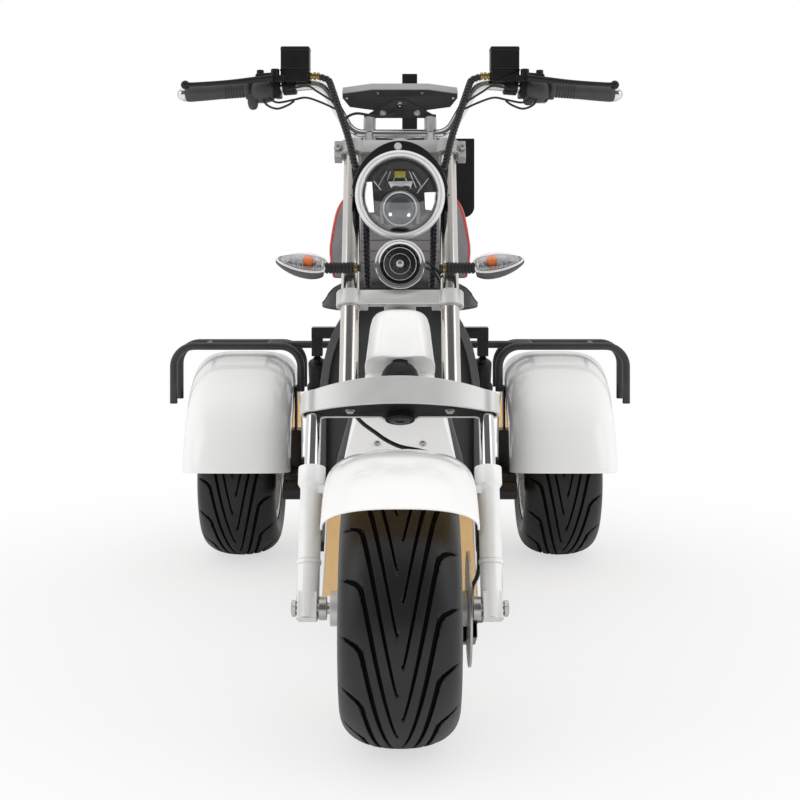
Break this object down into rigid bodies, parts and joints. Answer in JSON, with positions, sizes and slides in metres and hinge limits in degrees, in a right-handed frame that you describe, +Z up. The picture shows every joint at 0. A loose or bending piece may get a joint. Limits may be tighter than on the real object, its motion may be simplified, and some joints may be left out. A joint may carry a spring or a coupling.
{
  "type": "electric golf trike",
  "caption": "Electric three-wheeler with a raked fork, one wide front wheel, step-through deck, saddle with backrest, two mudguarded rear wheels, tube racks and a golf bag post.",
  "frame": {"origin": "on the ground under the middle of the bounding box", "axes": "-Y is straight ahead, +X is to the right seen from ahead, +Z is up"},
  "size_m": [1.226, 1.88, 1.316],
  "materials": {
    "white_paint": "gloss",
    "black_paint": "satin",
    "charcoal_paint": "satin",
    "grey_plastic": "satin",
    "black_plastic": "satin",
    "silver": "satin",
    "bright": "polished",
    "steel": "brushed",
    "rubber": "matte",
    "tyre": "matte",
    "saddle_black": "satin",
    "saddle_grey": "satin",
    "clear_lens": "clear",
    "amber_lens": "clear",
    "red_lens": "clear",
    "battery_case": "matte"
  },
  "bodies": {
    "chassis": {"frame": "white_paint", "body_shell": "grey_plastic", "footboards": "black_plastic", "battery": "battery_case", "seat_cushion": "saddle_black", "seat_back": "saddle_grey", "rear_subframe": "black_paint", "swing_arm": "black_paint", "rear_axle": "black_paint", "rear_shocks": "black_paint", "rear_fender_left": "white_paint", "rear_fender_right": "white_paint", "rear_rack": "charcoal_paint", "bag_post": "black_paint", "bag_rest": "black_plastic", "bag_tray": "black_plastic", "rear_calipers": "black_paint", "tail_lamps": "red_lens"},
    "steering": {"lower_yoke": "silver", "yoke_core": "black_paint", "fork_tubes": "silver", "mid_clamp": "silver", "top_clamp": "silver", "riser_caps": "silver", "steering_stem": "black_paint", "stanchions": "bright", "sliders": "silver", "front_axle": "steel", "front_fender": "white_paint", "front_caliper": "black_paint", "headlight_shell": "black_plastic", "headlight_ring": "silver", "headlight_lens": "clear_lens", "headlight_bracket": "black_paint", "horn": "black_plastic", "signal_stalks": "rubber", "signal_shells": "grey_plastic", "signal_lenses": "amber_lens", "handlebar": "bright", "grips": "rubber", "brake_masters": "black_plastic", "brake_levers": "black_paint", "switch_pods": "black_plastic", "dash": "black_plastic", "cables": "rubber"},
    "front_wheel": {"front_tyre": "tyre", "front_rim": "silver", "front_disc": "steel"},
    "rear_wheel_left": {"left_tyre": "tyre", "left_rim": "silver", "left_disc": "steel"},
    "rear_wheel_right": {"right_tyre": "tyre", "right_rim": "silver", "right_disc": "steel"}
  },
  "joints": [
    {"name": "steering", "type": "hinge", "parent": "chassis", "child": "steering", "pos_m": [0, -0.7115, 0.2285], "axis": [0, 0.4695, 0.8829], "range_deg": [-35, 35]},
    {"name": "front_wheel_spin", "type": "hinge", "parent": "steering", "child": "front_wheel", "pos_m": [0, -0.7115, 0.2285], "axis": [1, 0, 0], "continuous": true},
    {"name": "rear_wheel_left_spin", "type": "hinge", "parent": "chassis", "child": "rear_wheel_left", "pos_m": [-0.426, 0.5785, 0.2285], "axis": [1, 0, 0], "continuous": true},
    {"name": "rear_wheel_right_spin", "type": "hinge", "parent": "chassis", "child": "rear_wheel_right", "pos_m": [0.426, 0.5785, 0.2285], "axis": [1, 0, 0], "continuous": true}
  ]
}
